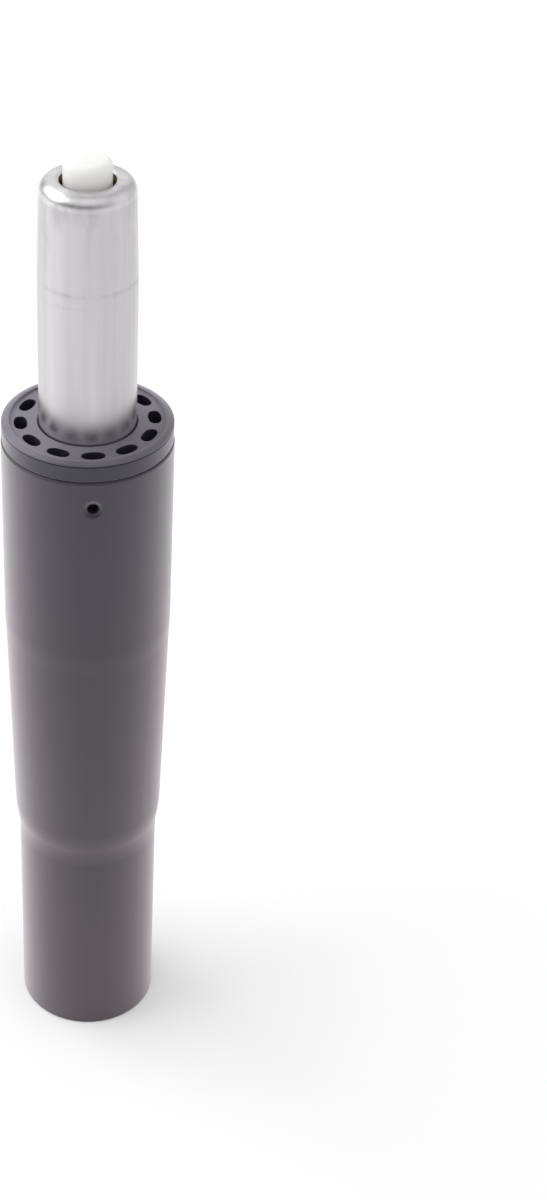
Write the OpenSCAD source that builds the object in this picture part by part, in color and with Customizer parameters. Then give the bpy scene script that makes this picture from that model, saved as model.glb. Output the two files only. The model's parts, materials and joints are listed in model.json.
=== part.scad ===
// Chair gas lift cylinder: a tapered column with a plastic guide bush,
// and in it a lockable gas spring that swivels on a thrust bearing.
// Z is the axis of the cylinder, and z = 0 is the foot of the column.

/* [Column tube] */
// Outer diameter of the straight upper stretch
column_d = 50; // [48:0.5:54]
// Length from the foot to the flange of the bush
column_len = 218.4; // [205:0.1:240]
// Wall thickness
column_wall = 2; // [1.6:0.1:2.5]
// Length of the straight spigot below the shoulder
spigot_len = 72.5; // [60:0.5:80]
// Height of the shoulder above the spigot
shoulder_len = 11; // [8:0.5:14]
// Step in radius over the shoulder
shoulder_step = 1.2; // [0.8:0.1:1.6]
// Height of the steep middle of the shoulder
shoulder_mid_len = 5; // [3:0.5:6]
// Step in radius over that middle
shoulder_mid_step = 0.9; // [0.5:0.05:1]
// Length of the base taper
base_taper_len = 67.5; // [55:0.5:75]
// Height of the blend between the taper and the straight stretch
blend_len = 5; // [3:0.5:8]
// Step in radius over that blend
blend_step = 0.25; // [0.1:0.05:0.5]
// Radius of the rounded edge under the bush
column_edge_r = 0.7; // [0.3:0.1:1]
// Radius of the rounded edge of the foot
foot_edge_r = 0.6; // [0.4:0.1:1.8]
// Width of the turned-in foot
foot_w = 5.5; // [4:0.5:7]

/* [Tapers] */
// Half angle of the base taper and the seat taper, in degrees
taper_angle = 1.4378; // [1.2:0.0001:1.7]

/* [Stakes that lock the bush] */
// Number of stakes round the column
stake_count = 3; // [2:1:4]
// Distance of the stakes below the top of the column
stake_drop = 8.7; // [6:0.1:14]
// Diameter of the pierced hole
stake_hole_d = 3.2; // [2:0.1:3.6]
// Diameter of the dish round the hole
stake_dish_d = 5.6; // [4.4:0.1:6.4]
// Depth of the dish
stake_dish_depth = 0.5; // [0.3:0.1:1.2]
// How far a stake reaches into the bush
stake_reach = 1; // [0.6:0.1:1.2]
// Metal left round the dish on the inside
stake_metal = 0.5; // [0.3:0.1:0.8]
// Direction of the first stake, in degrees from +X
stake_azimuth = -86.5; // [-180:0.5:180]

/* [Guide bush] */
// Height of the flange on top of the column
flange_h = 6.3; // [4:0.1:7]
// How far the flange stands back from the outside of the column
flange_inset = 0.25; // [0.2:0.05:0.5]
// Height of the shadow gap between the flange and the column
seam_h = 0.5; // [0.3:0.1:0.8]
// Depth of that gap
seam_depth = 0.9; // [0.5:0.1:1.2]
// Radius of the rounded rim of the flange
rim_edge_r = 1.2; // [0.6:0.1:1.6]
// Width of the raised rim
rim_w = 2.3; // [1.7:0.1:2.5]
// Depth of the face inside the rim
rim_depth = 0.7; // [0.3:0.1:1.2]
// Height of the stout part's lower end above the blend of the column
land_clear = 5; // [3:1:20]
// Depth of the bush below its flange
bush_len = 89; // [75:1:95]
// Wall of the nose below the stout part
nose_wall = 2.5; // [2:0.1:2.7]
// Wall between the bore and the core pockets
bush_inner_wall = 3.3; // [2.7:0.1:3.6]
// Wall between the core pockets and the column
bush_outer_wall = 1.9; // [1.5:0.05:2.2]
// Number of core pockets round the bush
pocket_count = 12; // [8:1:12]
// Length of a core pocket round the bush
pocket_w = 6.7; // [5:0.1:7.4]
// Radius of a core pocket's long sides
pocket_side_r = 5; // [4:0.1:8]
// Height of the web between the upper and the lower pockets
pocket_web = 10; // [4:1:20]
// Direction of the first core pocket, in degrees from +X
pocket_azimuth = -85.35; // [-180:0.05:180]
// Chamfer at the mouth of the bore
bore_chamfer = 0.5; // [0.3:0.1:1]

/* [Pressure tube] */
// Outer diameter
tube_d = 28; // [26.5:0.1:29]
// Wall thickness
tube_wall = 1.5; // [1.2:0.1:1.8]
// Height that stands out of the bush at rest
tube_exposed = 74.3; // [65:0.1:90]
// Length of the seat taper
seat_taper_len = 31; // [27:1:36]
// Radius of the rounded outer edge of the lip
lip_edge_r = 3.4; // [1.5:0.1:3.6]
// How far the lip falls towards its opening
lip_fall = 0.4; // [0.2:0.1:1]
// Diameter of the opening in the lip
lip_opening_d = 15.6; // [14.4:0.1:17]
// Diameter of the opening in the crimped lower end
crimp_opening_d = 15; // [12:0.5:18]
// Radius of the rounded lower edge
crimp_edge_r = 1.2; // [0.6:0.1:1.4]

/* [Travel] */
// How far the pressure tube can sink from rest
sink = 38; // [25:1:45]
// How far it can rise from rest
rise = 62; // [45:1:75]
// How far the release button goes down
press = 4; // [2:0.5:5]

/* [Base plate and retainers] */
// Thickness of the pressed base plate
plate_t = 2.5; // [2:0.1:3.5]
// Radius of the bend round the base plate
plate_bend_r = 3; // [2:0.1:3.5]
// Thickness of the washer under the plate
rod_washer_t = 1.2; // [0.8:0.1:2]
// Diameter of that washer
rod_washer_d = 16; // [14:0.5:20]
// Thickness of the clip that holds the rod's tail
clip_t = 1.2; // [0.8:0.1:1.6]
// Outer diameter of the clip
clip_d = 13; // [12:0.5:15]
// Width of the mouth of the clip
clip_mouth = 5.6; // [4.5:0.1:6]
// Diameter of the relief pockets in the clip
clip_relief_d = 2.4; // [1.6:0.1:2.8]

/* [Thrust bearing] */
// Diameter of a ball
ball_d = 4; // [3:0.1:4.4]
// Number of balls
ball_count = 10; // [8:1:11]
// Outer diameter of the races
race_d = 26; // [25:0.5:30]
// Thickness of a race
race_t = 2; // [1.6:0.1:3]
// Depth of the raceway
race_groove = 0.6; // [0.4:0.05:0.8]
// Thickness of the cage
cage_t = 1.6; // [1:0.1:1.9]
// Width of the cage beyond its balls
cage_rim = 0.9; // [0.5:0.1:1.2]

/* [Piston rod] */
// Diameter of the rod
rod_d = 10; // [9.5:0.1:11]
// Diameter of the tail through the bearing
tail_d = 8.5; // [7.5:0.1:9]
// Height of the tail's end above the foot
tail_clear = 2.2; // [1:0.1:4]
// Length of the tail below its clip
tail_end = 1.4; // [1:0.1:2.5]
// Depth of the groove for the clip
clip_groove = 1; // [0.6:0.1:1.2]
// Diameter of the stem through the piston
stem_d = 7; // [6:0.1:8]
// Length of the stem above its nut
stem_end = 1; // [0.5:0.1:3]
// Chamfer at both ends
rod_chamfer = 0.6; // [0.3:0.1:0.9]

/* [Rubber buffer] */
// Thickness of the washer under the buffer
buffer_washer_t = 1.2; // [0.8:0.1:2]
// Diameter of that washer
buffer_washer_d = 24; // [22:0.5:28]
// Height of the buffer
buffer_h = 10.7; // [8:0.1:14]
// Diameter of the buffer
buffer_d = 21; // [18:0.5:24]
// Radius of the buffer's rounded edges
buffer_edge_r = 2; // [1:0.1:3]
// Radius of the groove round the buffer's waist
buffer_waist_r = 2; // [1:0.1:2.6]

/* [Piston] */
// Bore of the tube that the piston runs in
bore_d = 20; // [19:0.1:20.6]
// Height of the piston
piston_h = 10; // [9:0.5:14]
// Land between the piston's grooves and ends
piston_land = 1.3; // [0.8:0.1:1.4]
// Section of the piston's seal
piston_seal_d = 2.5; // [2:0.1:3]
// Height of the glide ring
glide_h = 3; // [2:0.1:3.5]
// Thickness of the glide ring
glide_t = 1.2; // [0.8:0.1:1.6]
// Thickness of the washer on the piston
piston_washer_t = 1.2; // [0.8:0.1:2]
// Diameter of that washer
piston_washer_d = 15; // [13.5:0.5:17]
// Height of the nut
nut_h = 4; // [3:0.1:6]
// Width of the nut across its flats
nut_af = 11; // [10.5:0.5:13]

/* [Inner tube] */
// Wall of the tube that the piston runs in
inner_wall = 1; // [0.7:0.1:1.2]
// Number of bypass notches in its lower end
notch_count = 4; // [2:1:6]
// Width of a bypass notch
notch_w = 3; // [2:0.5:5]
// Height of a bypass notch
notch_h = 3; // [2:0.5:6]

/* [Rod guide and seal] */
// Height of the rod guide
rod_guide_h = 9; // [6:0.5:14]
// Height of the rod seal
rod_seal_h = 5; // [4:0.5:8]
// Depth of the groove between the lips of the seal
seal_lip_depth = 2; // [1:0.1:2.6]
// Width of one lip of the seal
seal_lip_w = 1.4; // [1:0.1:1.8]
// Height of the spacer on the seal
spacer_h = 3; // [2:0.5:6]

/* [Release valve] */
// Length of the valve body under the lip
valve_body_len = 24; // [22:0.5:28]
// Height of the disc on the valve seat
seat_disc_h = 6; // [4:0.5:8]
// Height of the neck that the ports open through
seat_neck_h = 4; // [3.5:0.5:6]
// Length of the stem in the inner tube
seat_stem_len = 8; // [6:0.5:12]
// Bore of the valve seat round the pin
seat_bore_d = 7.2; // [6.8:0.1:7.6]
// Diameter of a port
port_d = 2.4; // [1.6:0.1:3]
// Number of ports
port_count = 3; // [2:1:4]
// Section of the seal round the valve body
valve_seal_d = 2.6; // [2:0.1:3]
// Height of that seal above the valve seat
valve_seal_rise = 5.5; // [4.5:0.1:8]
// Section of the seal round the pin
pin_seal_d = 2.4; // [1.8:0.1:3]

/* [Release button and pin] */
// Diameter of the button
button_d = 13.4; // [12:0.1:14]
// How far the button stands above the lip
button_proud = 5.7; // [5.4:0.1:8]
// Length of the button
button_len = 17; // [15:0.5:18]
// Radius of the rounded edge of the button
button_edge_r = 2; // [1:0.1:3]
// Depth of the pin in the button
pin_grip = 8; // [5:0.5:11]
// Diameter of the pin
pin_d = 6; // [5:0.1:6.4]
// Diameter of the valve head on the pin
head_d = 9.6; // [9:0.1:12]
// Thickness of the valve head
head_t = 2; // [1.5:0.1:4]
// Thickness of the rubber washer on the valve head
head_seal_t = 1.5; // [1:0.1:3]

/* [Clearances] */
// Gap round a piece that is fitted in its neighbour
fit_gap = 0.05; // [0.02:0.01:0.1]
// Gap round a shaft that runs or slides in its bore
run_gap = 0.06; // [0.02:0.01:0.1]
// Gap between pieces that pass each other
free_gap = 0.3; // [0.2:0.05:0.4]

/* [Hidden] */
$fn = 96;
cut_over = 1;
taper_slope = tan(taper_angle);

// Column, from the foot up
column_r = column_d / 2;
column_in_r = column_r - column_wall;
shoulder_top = spigot_len + shoulder_len;
shoulder_mid_z = spigot_len + (shoulder_len - shoulder_mid_len) / 2;
shoulder_mid_top = shoulder_mid_z + shoulder_mid_len;
base_taper_top = shoulder_top + base_taper_len;
straight_start = base_taper_top + blend_len;
base_taper_top_r = column_r - blend_step;
base_taper_low_r = base_taper_top_r - base_taper_len * taper_slope;
spigot_r = base_taper_low_r - shoulder_step;
shoulder_mid_r = spigot_r + (shoulder_step - shoulder_mid_step) / 2;
spigot_in_r = spigot_r - column_wall;
foot_in_r = spigot_r - foot_w;
stake_z = column_len - stake_drop;
stake_dish_r = stake_dish_d / 2;
stake_hole_r = stake_hole_d / 2;
stake_back_r = stake_dish_r + stake_metal;
stake_dish_slope = (stake_dish_r - stake_hole_r) / stake_dish_depth;

// Guide bush, from the flange down
tube_r = tube_d / 2;
bush_top = column_len + flange_h;
bush_face = bush_top - rim_depth;
bush_bottom = column_len - bush_len;
flange_r = column_r - flange_inset;
seam_r = flange_r - seam_depth;
seam_top = column_len + seam_h;
land_r = column_in_r - fit_gap;
land_bottom = straight_start + land_clear;
bush_bore_r = tube_r + run_gap;
nose_r = bush_bore_r + nose_wall;
pocket_in_r = bush_bore_r + bush_inner_wall;
pocket_out_r = land_r - bush_outer_wall;
pocket_mid_r = (pocket_in_r + pocket_out_r) / 2;
pocket_size = [pocket_out_r - pocket_in_r, pocket_w];
web_mid = (land_bottom + bush_top) / 2;
web_low = web_mid - pocket_web / 2;
web_high = web_mid + pocket_web / 2;

// Rod's tail, base plate and thrust bearing, from the foot up
rod_r = rod_d / 2;
tail_r = tail_d / 2;
clip_groove_r = tail_r - clip_groove;
clip_z = tail_clear + tail_end;
rod_washer_z = clip_z + clip_t;
plate_z = rod_washer_z + rod_washer_t;
plate_top = plate_z + plate_t;
plate_r = spigot_in_r - fit_gap;
ball_r = ball_d / 2;
race_r = race_d / 2;
race_gap = ball_d - 2 * race_groove;
lower_race_top = plate_top + race_t;
ball_z = lower_race_top + race_gap / 2;
upper_race_z = lower_race_top + race_gap;
rod_shoulder_z = upper_race_z + race_t;
ball_circle_r = (race_r + tail_r + free_gap) / 2;
raceway_r = ball_r + run_gap;
ball_pocket_r = ball_r + 2 * run_gap;
buffer_z = rod_shoulder_z + buffer_washer_t;
buffer_top = buffer_z + buffer_h;

// Lower end of the pressure tube, from the buffer up
tube_in_r = tube_r - tube_wall;
tube_bottom = buffer_top + free_gap + sink;
rod_guide_z = tube_bottom + tube_wall;
rod_seal_z = rod_guide_z + rod_guide_h;
spacer_z = rod_seal_z + rod_seal_h;
inner_bottom = spacer_z + spacer_h;
inner_r = bore_d / 2;
inner_out_r = inner_r + inner_wall;
insert_r = tube_in_r - fit_gap;

// Piston, held by the rod where the risen tube stops under it
piston_z = inner_bottom + rise + free_gap;
piston_top = piston_z + piston_h;
piston_r = inner_r - run_gap;
stem_r = stem_d / 2;
piston_nut_z = piston_top + piston_washer_t;
stem_top = piston_nut_z + nut_h + stem_end;
glide_z = piston_z + piston_land;
seal_groove_h = piston_seal_d + 2 * fit_gap;
seal_groove_z = piston_top - piston_land - seal_groove_h;

// Upper end of the pressure tube, from the lip down
tube_top = bush_top + tube_exposed;
seat_taper_z = tube_top - seat_taper_len;
lip_r = tube_r - seat_taper_len * taper_slope;
lip_under = tube_top - lip_fall - tube_wall;
lip_opening_r = lip_opening_d / 2;
valve_mid = lip_under - valve_body_len;
seat_disc_z = valve_mid - seat_disc_h;
seat_neck_z = seat_disc_z - seat_neck_h;
seat_bottom = seat_neck_z - seat_stem_len;
pin_r = pin_d / 2;
pin_bore_r = pin_r + run_gap;
valve_seal_z = valve_mid + valve_seal_rise;
valve_seal_low = valve_seal_z - valve_seal_d / 2;
pin_gland_h = pin_seal_d + 2 * fit_gap;
pin_gland_r = pin_bore_r + pin_seal_d + fit_gap;

// Button and pin
button_r = button_d / 2;
button_top = tube_top + button_proud;
button_z = button_top - button_len;
button_floor = button_z - press - free_gap;
pin_top = button_z + pin_grip;
head_top = seat_bottom - head_seal_t;
head_z = head_top - head_t;

// Inside radius of the pressure tube at a height, which follows the seat taper
function tube_in_at(z) = tube_in_r - max(0, z - seat_taper_z) * taper_slope;

// A ring with a rectangular section
module ring(r_in, r_out, z, h) {
    rotate_extrude()
        translate([r_in, z])
            square([r_out - r_in, h]);
}

// A ring with a round section
module round_ring(mid_r, section_d, z) {
    rotate_extrude()
        translate([mid_r, z])
            circle(d = section_d);
}

// What comes off a section to round its corner at x, y, which points to dx, dy
module corner_cut(x, y, r, dx, dy) {
    difference() {
        translate([dx > 0 ? x - r : x - cut_over, dy > 0 ? y - r : y - cut_over])
            square(r + cut_over);
        translate([x - dx * r, y - dy * r])
            circle(r = r);
    }
}

// An oval about the origin, longest in Y, with its long sides rounded by side_r
module oval(size, side_r) {
    intersection() {
        circle(d = size.y);
        translate([side_r - size.x / 2, 0])
            circle(r = side_r);
        translate([size.x / 2 - side_r, 0])
            circle(r = side_r);
    }
}

// Its children once for each stake, with Z pointing inwards from the radius r
module at_stakes(r) {
    for (i = [0 : stake_count - 1])
        rotate(stake_azimuth + i * 360 / stake_count)
            translate([r, 0, stake_z])
                rotate([0, -90, 0])
                    children();
}

module column_section() {
    difference() {
        polygon([
            [foot_in_r, 0],
            [spigot_r, 0],
            [spigot_r, spigot_len],
            [shoulder_mid_r, shoulder_mid_z],
            [shoulder_mid_r + shoulder_mid_step, shoulder_mid_top],
            [base_taper_low_r, shoulder_top],
            [base_taper_top_r, base_taper_top],
            [column_r, straight_start],
            [column_r, column_len],
            [column_in_r, column_len],
            [column_in_r, straight_start],
            [base_taper_top_r - column_wall, base_taper_top],
            [base_taper_low_r - column_wall, shoulder_top],
            [spigot_in_r, spigot_len],
            [spigot_in_r, column_wall],
            [foot_in_r, column_wall]
        ]);
        corner_cut(spigot_r, 0, foot_edge_r, 1, -1);
        corner_cut(column_r, column_len, column_edge_r, 1, 1);
    }
}

// Stand tube: one drawn steel tube with a turned-in foot, staked to the bush
module column_tube() {
    color("#55535a")
        difference() {
            union() {
                rotate_extrude()
                    column_section();
                at_stakes(column_in_r + stake_metal)
                    cylinder(
                        r1 = stake_back_r,
                        r2 = stake_hole_r + stake_metal,
                        h = stake_reach + stake_metal
                    );
            }
            at_stakes(column_r)
                rotate_extrude()
                    polygon([
                        [0, -cut_over],
                        [stake_dish_r + cut_over * stake_dish_slope, -cut_over],
                        [stake_hole_r, stake_dish_depth],
                        [stake_hole_r, column_wall + stake_reach + cut_over],
                        [0, column_wall + stake_reach + cut_over]
                    ]);
        }
}

module bush_section() {
    difference() {
        polygon([
            [bush_bore_r + bore_chamfer, bush_bottom],
            [nose_r, bush_bottom],
            [nose_r, land_bottom],
            [land_r, land_bottom],
            [land_r, column_len],
            [seam_r, column_len],
            [seam_r, seam_top],
            [flange_r, seam_top],
            [flange_r, bush_top],
            [flange_r - rim_w, bush_top],
            [flange_r - rim_w, bush_face],
            [bush_bore_r + bore_chamfer, bush_face],
            [bush_bore_r, bush_face - bore_chamfer],
            [bush_bore_r, bush_bottom + bore_chamfer]
        ]);
        corner_cut(flange_r, bush_top, rim_edge_r, 1, 1);
    }
}

// Moulded bush: guides the pressure tube, cored from both ends
module guide_bush() {
    color("#4b4a4e")
        difference() {
            rotate_extrude()
                bush_section();
            for (i = [0 : pocket_count - 1])
                rotate(pocket_azimuth + i * 360 / pocket_count)
                    translate([pocket_mid_r, 0]) {
                        translate([0, 0, web_high])
                            linear_extrude(bush_top - web_high + cut_over)
                                oval(pocket_size, pocket_side_r);
                        translate([0, 0, land_bottom - cut_over])
                            linear_extrude(web_low - land_bottom + cut_over)
                                oval(pocket_size, pocket_side_r);
                    }
            at_stakes(column_in_r + cut_over)
                cylinder(r = stake_back_r + free_gap, h = cut_over + stake_reach + free_gap);
        }
}

// Pressed steel cup that stands on the foot and carries the bearing
module base_plate() {
    color("#8c8c90")
        rotate_extrude()
            difference() {
                translate([0, column_wall])
                    square([plate_r, plate_top - column_wall]);
                corner_cut(plate_r, plate_top, plate_bend_r, 1, 1);
                translate([0, column_wall - cut_over])
                    square([plate_r - plate_t, plate_z - column_wall + cut_over]);
                square([tail_r + run_gap, plate_top + cut_over]);
            }
}

// A bearing washer between two heights with the raceway cut into it
module bearing_race(r_in, z) {
    color("#a9abb0")
        difference() {
            ring(r_in, race_r, z, race_t);
            round_ring(ball_circle_r, 2 * raceway_r, ball_z);
        }
}

module bearing_lower_race() {
    bearing_race(tail_r + free_gap, plate_top);
}

module bearing_upper_race() {
    bearing_race(tail_r + fit_gap, upper_race_z);
}

// Its children once for each ball
module at_balls() {
    for (i = [0 : ball_count - 1])
        rotate(i * 360 / ball_count)
            translate([ball_circle_r, 0, ball_z])
                children();
}

module bearing_cage() {
    color("#b08d45")
        difference() {
            ring(
                ball_circle_r - ball_r - cage_rim,
                ball_circle_r + ball_r + cage_rim,
                ball_z - cage_t / 2,
                cage_t
            );
            at_balls()
                cylinder(r = ball_pocket_r, h = cage_t + 2 * cut_over, center = true);
        }
}

module bearing_balls() {
    color("#d5d6da")
        at_balls()
            sphere(r = ball_r);
}

// Ground rod: its tail goes through the bearing and the plate, its stem carries the piston
module piston_rod() {
    color("#c4c6ca")
        rotate_extrude()
            polygon([
                [0, tail_clear],
                [tail_r - rod_chamfer, tail_clear],
                [tail_r, tail_clear + rod_chamfer],
                [tail_r, clip_z],
                [clip_groove_r, clip_z],
                [clip_groove_r, rod_washer_z],
                [tail_r, rod_washer_z],
                [tail_r, rod_shoulder_z],
                [rod_r, rod_shoulder_z],
                [rod_r, piston_z],
                [stem_r, piston_z],
                [stem_r, stem_top - rod_chamfer],
                [stem_r - rod_chamfer, stem_top],
                [0, stem_top]
            ]);
}

module rod_washer() {
    color("#9c9da1")
        ring(tail_r + fit_gap, rod_washer_d / 2, rod_washer_z, rod_washer_t);
}

// Open spring clip in the groove of the rod's tail
module rod_clip() {
    color("#3d3d42")
        translate([0, 0, clip_z])
            linear_extrude(clip_t)
                difference() {
                    circle(d = clip_d);
                    circle(r = clip_groove_r + fit_gap);
                    translate([0, -clip_mouth / 2])
                        square([clip_d, clip_mouth]);
                    for (turn = [120, 240])
                        rotate(turn)
                            translate([clip_groove_r + clip_relief_d / 4, 0])
                                circle(d = clip_relief_d);
                }
}

module buffer_washer() {
    color("#9c9da1")
        ring(rod_r + fit_gap, buffer_washer_d / 2, rod_shoulder_z, buffer_washer_t);
}

// Rubber end stop with a waist
module rubber_buffer() {
    color("#26262a")
        rotate_extrude()
            difference() {
                translate([rod_r + fit_gap, buffer_z])
                    square([buffer_d / 2 - rod_r - fit_gap, buffer_h]);
                corner_cut(buffer_d / 2, buffer_top, buffer_edge_r, 1, 1);
                corner_cut(buffer_d / 2, buffer_z, buffer_edge_r, 1, -1);
                translate([buffer_d / 2 + buffer_waist_r / 2, buffer_z + buffer_h / 2])
                    circle(r = buffer_waist_r);
            }
}

// Piston with a groove for its glide ring and one for its seal
module piston() {
    color("#b7b9bd")
        rotate_extrude()
            difference() {
                translate([stem_r + fit_gap, piston_z])
                    square([piston_r - stem_r - fit_gap, piston_h]);
                translate([piston_r - glide_t, glide_z])
                    square([glide_t + cut_over, glide_h]);
                translate([piston_r - piston_seal_d - fit_gap, seal_groove_z])
                    square([piston_seal_d + fit_gap + cut_over, seal_groove_h]);
            }
}

module piston_seal() {
    color("#1f1f22")
        round_ring(piston_r - piston_seal_d / 2, piston_seal_d, seal_groove_z + seal_groove_h / 2);
}

module glide_ring() {
    color("#d9d4c4")
        ring(piston_r - glide_t + fit_gap, piston_r, glide_z, glide_h);
}

module piston_washer() {
    color("#9c9da1")
        ring(stem_r + fit_gap, piston_washer_d / 2, piston_top, piston_washer_t);
}

module piston_nut() {
    color("#85868a")
        translate([0, 0, piston_nut_z])
            difference() {
                cylinder(r = nut_af / 2 / cos(30), h = nut_h, $fn = 6);
                translate([0, 0, -cut_over])
                    cylinder(r = stem_r + fit_gap, h = nut_h + 2 * cut_over);
            }
}

// Ground steel tube: crimped below, tapered above for the seat, with a rolled-in lip
module pressure_tube() {
    color("#d3d4d6")
        rotate_extrude()
            difference() {
                polygon([
                    [crimp_opening_d / 2, tube_bottom],
                    [tube_r, tube_bottom],
                    [tube_r, seat_taper_z],
                    [lip_r, tube_top],
                    [lip_r - lip_edge_r, tube_top],
                    [lip_opening_r, tube_top - lip_fall],
                    [lip_opening_r, lip_under],
                    [tube_in_at(lip_under), lip_under],
                    [tube_in_r, seat_taper_z],
                    [tube_in_r, rod_guide_z],
                    [crimp_opening_d / 2, rod_guide_z]
                ]);
                corner_cut(lip_r, tube_top, lip_edge_r, 1, 1);
                corner_cut(tube_r, tube_bottom, crimp_edge_r, 1, -1);
            }
}

// Tube that the piston runs in, with bypass notches in its lower end
module inner_tube() {
    color("#b9bbbf")
        difference() {
            ring(inner_r, inner_out_r, inner_bottom, seat_neck_z - inner_bottom);
            for (i = [0 : notch_count - 1])
                rotate(i * 360 / notch_count)
                    translate([0, -notch_w / 2, inner_bottom - cut_over])
                        cube([inner_out_r + cut_over, notch_w, notch_h + cut_over]);
        }
}

// Upper half of the valve: takes the button, guides the pin and holds the seals
module valve_body() {
    color("#c9b26a")
        rotate_extrude()
            difference() {
                polygon([
                    [pin_bore_r, valve_mid],
                    [tube_in_at(valve_mid) - fit_gap, valve_mid],
                    [tube_in_at(lip_under) - fit_gap, lip_under],
                    [pin_bore_r, lip_under]
                ]);
                translate([0, button_floor])
                    square([lip_opening_r, lip_under - button_floor + cut_over]);
                translate([0, valve_mid - cut_over])
                    square([pin_gland_r, pin_gland_h + cut_over]);
                translate([tube_in_at(valve_seal_z) - 2 * fit_gap - valve_seal_d, valve_seal_low])
                    square([valve_seal_d + cut_over, valve_seal_d]);
            }
}

// Lower half of the valve: closes the inner tube, with ports to the bypass gap
module valve_seat() {
    color("#c2aa60")
        difference() {
            rotate_extrude()
                polygon([
                    [seat_bore_d / 2, seat_bottom],
                    [inner_r - fit_gap, seat_bottom],
                    [inner_r - fit_gap, seat_neck_z],
                    [inner_out_r, seat_neck_z],
                    [inner_out_r, seat_disc_z],
                    [tube_in_at(seat_disc_z) - fit_gap, seat_disc_z],
                    [tube_in_at(valve_mid) - fit_gap, valve_mid],
                    [seat_bore_d / 2, valve_mid]
                ]);
            for (i = [0 : port_count - 1])
                rotate(i * 360 / port_count)
                    translate([0, 0, seat_neck_z + seat_neck_h / 2])
                        rotate([0, 90, 0])
                            cylinder(d = port_d, h = tube_r);
        }
}

module valve_seal() {
    color("#1f1f22")
        round_ring(
            tube_in_at(valve_seal_z) - 2 * fit_gap - valve_seal_d / 2 + fit_gap / 2,
            valve_seal_d - fit_gap,
            valve_seal_z
        );
}

module pin_seal() {
    color("#1f1f22")
        round_ring(pin_bore_r + pin_seal_d / 2, pin_seal_d, valve_mid + pin_gland_h / 2);
}

module rod_guide() {
    color("#a8acb2")
        ring(rod_r + run_gap, insert_r, rod_guide_z, rod_guide_h);
}

// Rubber seal with two lips towards the gas
module rod_seal() {
    color("#232327")
        rotate_extrude()
            difference() {
                translate([rod_r + run_gap, rod_seal_z])
                    square([insert_r - rod_r - run_gap, rod_seal_h]);
                polygon([
                    [rod_r + run_gap + seal_lip_w, spacer_z + cut_over],
                    [rod_r + run_gap + seal_lip_w, spacer_z],
                    [(rod_r + insert_r) / 2, spacer_z - seal_lip_depth],
                    [insert_r - seal_lip_w, spacer_z],
                    [insert_r - seal_lip_w, spacer_z + cut_over]
                ]);
            }
}

module seal_spacer() {
    color("#9fa2a7")
        ring(rod_r + free_gap, insert_r, spacer_z, spacer_h);
}

// White cap in the opening of the lip, with a socket for the pin
module release_button() {
    color("#f2f2ef")
        rotate_extrude()
            difference() {
                translate([0, button_z])
                    square([button_r, button_len]);
                corner_cut(button_r, button_top, button_edge_r, 1, 1);
                translate([0, button_z - cut_over])
                    square([pin_r + fit_gap, pin_grip + cut_over]);
            }
}

// Pin from the button to the valve head, which the gas holds against its seat
module release_pin() {
    color("#caccd0")
        rotate_extrude()
            polygon([
                [0, head_z],
                [head_d / 2, head_z],
                [head_d / 2, head_top],
                [pin_r, head_top],
                [pin_r, pin_top],
                [0, pin_top]
            ]);
}

module head_seal() {
    color("#1f1f22")
        ring(pin_r + fit_gap, head_d / 2, head_top, head_seal_t);
}

column_tube();
guide_bush();
base_plate();
bearing_lower_race();
bearing_cage();
bearing_balls();
piston_rod();
bearing_upper_race();
buffer_washer();
rubber_buffer();
rod_washer();
rod_clip();
piston();
piston_seal();
glide_ring();
piston_washer();
piston_nut();
pressure_tube();
inner_tube();
valve_body();
valve_seat();
valve_seal();
pin_seal();
rod_guide();
rod_seal();
seal_spacer();
release_button();
release_pin();
head_seal();
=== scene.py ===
import json
import math
import bmesh
import bpy
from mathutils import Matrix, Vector


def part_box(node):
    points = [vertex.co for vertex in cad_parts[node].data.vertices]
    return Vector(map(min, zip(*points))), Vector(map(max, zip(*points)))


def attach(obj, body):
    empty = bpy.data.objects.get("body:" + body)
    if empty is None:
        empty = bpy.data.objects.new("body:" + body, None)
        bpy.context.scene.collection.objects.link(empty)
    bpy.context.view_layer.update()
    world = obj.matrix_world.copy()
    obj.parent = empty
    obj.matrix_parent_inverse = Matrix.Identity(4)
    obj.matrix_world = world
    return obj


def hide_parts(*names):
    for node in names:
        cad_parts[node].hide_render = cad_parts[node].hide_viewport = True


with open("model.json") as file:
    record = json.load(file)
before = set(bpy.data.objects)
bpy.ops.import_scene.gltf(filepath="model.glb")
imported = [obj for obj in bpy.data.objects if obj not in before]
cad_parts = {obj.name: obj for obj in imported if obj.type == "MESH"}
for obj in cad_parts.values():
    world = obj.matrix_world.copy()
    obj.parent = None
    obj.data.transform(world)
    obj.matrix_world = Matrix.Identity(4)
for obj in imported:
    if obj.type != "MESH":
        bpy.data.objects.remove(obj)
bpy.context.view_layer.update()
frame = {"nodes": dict(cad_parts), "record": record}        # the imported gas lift, in metres, standing on z = 0
mm = 0.001               # the pieces' sizes below are in millimetres
print("frame loaded:", len(frame["nodes"]), "nodes")

# how outlines become meshes
meshSet = {
    "arcDeg": 7.5, "arcLeast": 2, "ease": 0.2,         # steps of an arc, and the flat kept on each side of it
    "weld": 0.002, "sliver": 0.0005, "same": 1e-6,     # distances below which points count as one
    "sharpDeg": 40.0,
}


def nodeTop(node):
    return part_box(node)[1].z / mm


def nodeBottom(node):
    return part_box(node)[0].z / mm


def nodeRadius(node):
    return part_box(node)[1].x / mm


# a point in metres, from a radius, an angle and a height in millimetres
def aroundZ(radius, angle, height):
    return radius * mm * math.cos(angle), radius * mm * math.sin(angle), height * mm


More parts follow.
